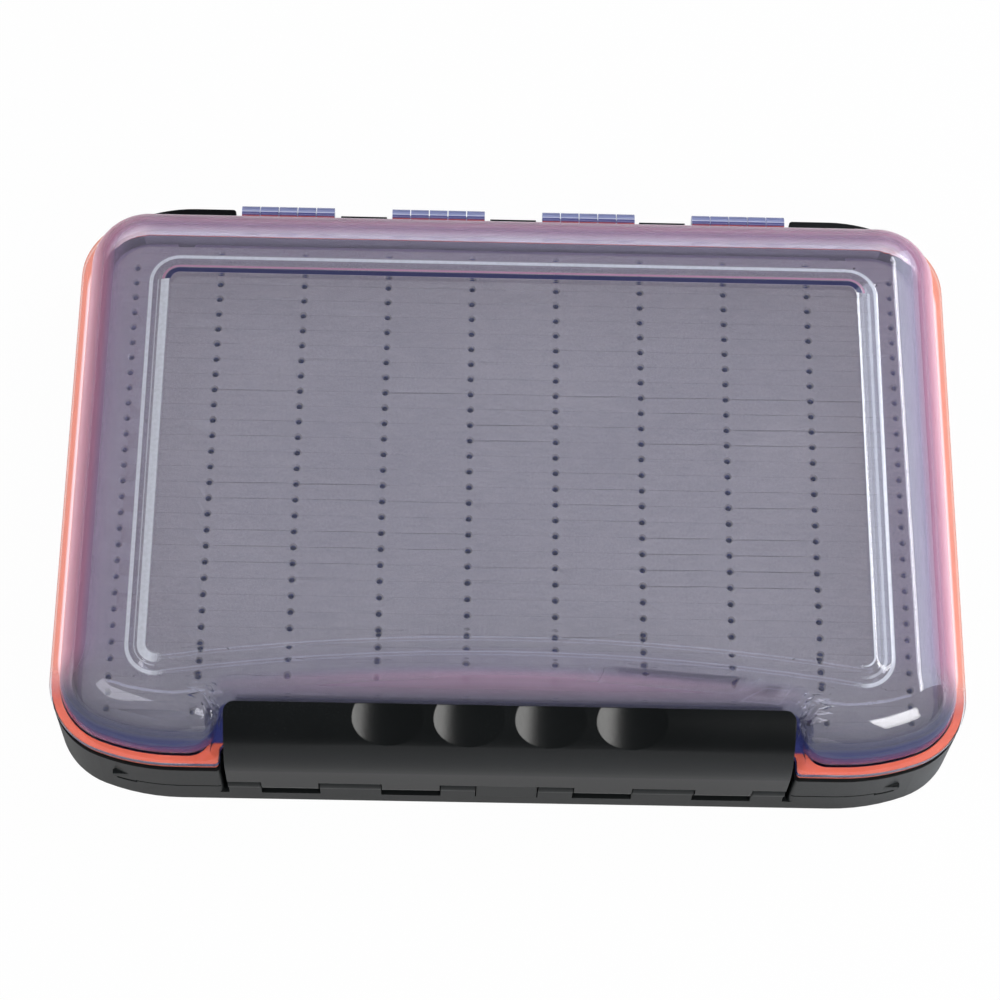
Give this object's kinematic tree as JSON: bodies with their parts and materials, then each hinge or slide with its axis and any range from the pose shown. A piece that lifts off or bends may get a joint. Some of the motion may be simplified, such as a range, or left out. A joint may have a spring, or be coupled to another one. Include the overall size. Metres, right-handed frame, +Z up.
{
  "type": "fly box",
  "caption": "Clear-lidded waterproof fishing fly box with slit foam, an inner swing page, a gasket and a wide hinged snap latch.",
  "frame": {"origin": "centre of the box's footprint on the surface it stands on", "axes": "+Z up through the lid, +Y towards the lid hinges, -Y towards the latch, +X to the right seen from the latch"},
  "size_m": [0.2552, 0.179, 0.048],
  "materials": {
    "black_shell": "moulded satin black plastic",
    "black_latch": "moulded satin black plastic",
    "smoke_page": "moulded smoky violet plastic",
    "clear_lid": "clear polished polycarbonate",
    "clear_hinge": "clear polished polycarbonate",
    "orange_rubber": "soft orange silicone",
    "grey_foam": "closed-cell slit foam",
    "steel_pin": "ground stainless wire"
  },
  "bodies": {
    "base": {"base_shell": "black_shell", "base_foam": "grey_foam", "lid_gasket": "orange_rubber", "latch_pin_clip": "black_shell", "latch_pin_left": "steel_pin", "latch_pin_right": "steel_pin", "page_pin_left": "steel_pin", "page_pin_right": "steel_pin", "hinge_leaf_1": "clear_hinge", "hinge_leaf_2": "clear_hinge", "hinge_leaf_3": "clear_hinge", "hinge_leaf_4": "clear_hinge", "hinge_pin_1": "steel_pin", "hinge_pin_2": "steel_pin", "hinge_pin_3": "steel_pin", "hinge_pin_4": "steel_pin"},
    "lid": {"lid_shell": "clear_lid"},
    "latch": {"latch_bar": "black_latch"},
    "page": {"page_frame": "smoke_page", "page_foam_top": "grey_foam", "page_foam_bottom": "grey_foam"}
  },
  "joints": [
    {"name": "lid_hinge", "type": "hinge", "parent": "base", "child": "lid", "pos_m": [0, 0.086, 0.028], "axis": [-1, 0, 0], "range_deg": [0, 178]},
    {"name": "latch_hinge", "type": "hinge", "parent": "base", "child": "latch", "pos_m": [0, -0.086, 0.014], "axis": [1, 0, 0], "range_deg": [0, 100]},
    {"name": "page_hinge", "type": "hinge", "parent": "base", "child": "page", "pos_m": [0, 0.0676, 0.0192], "axis": [-1, 0, 0], "range_deg": [0, 89]}
  ],
  "couplings": [
    {"joint": "page_hinge", "follows": "lid_hinge", "ratio": 0.5}
  ]
}
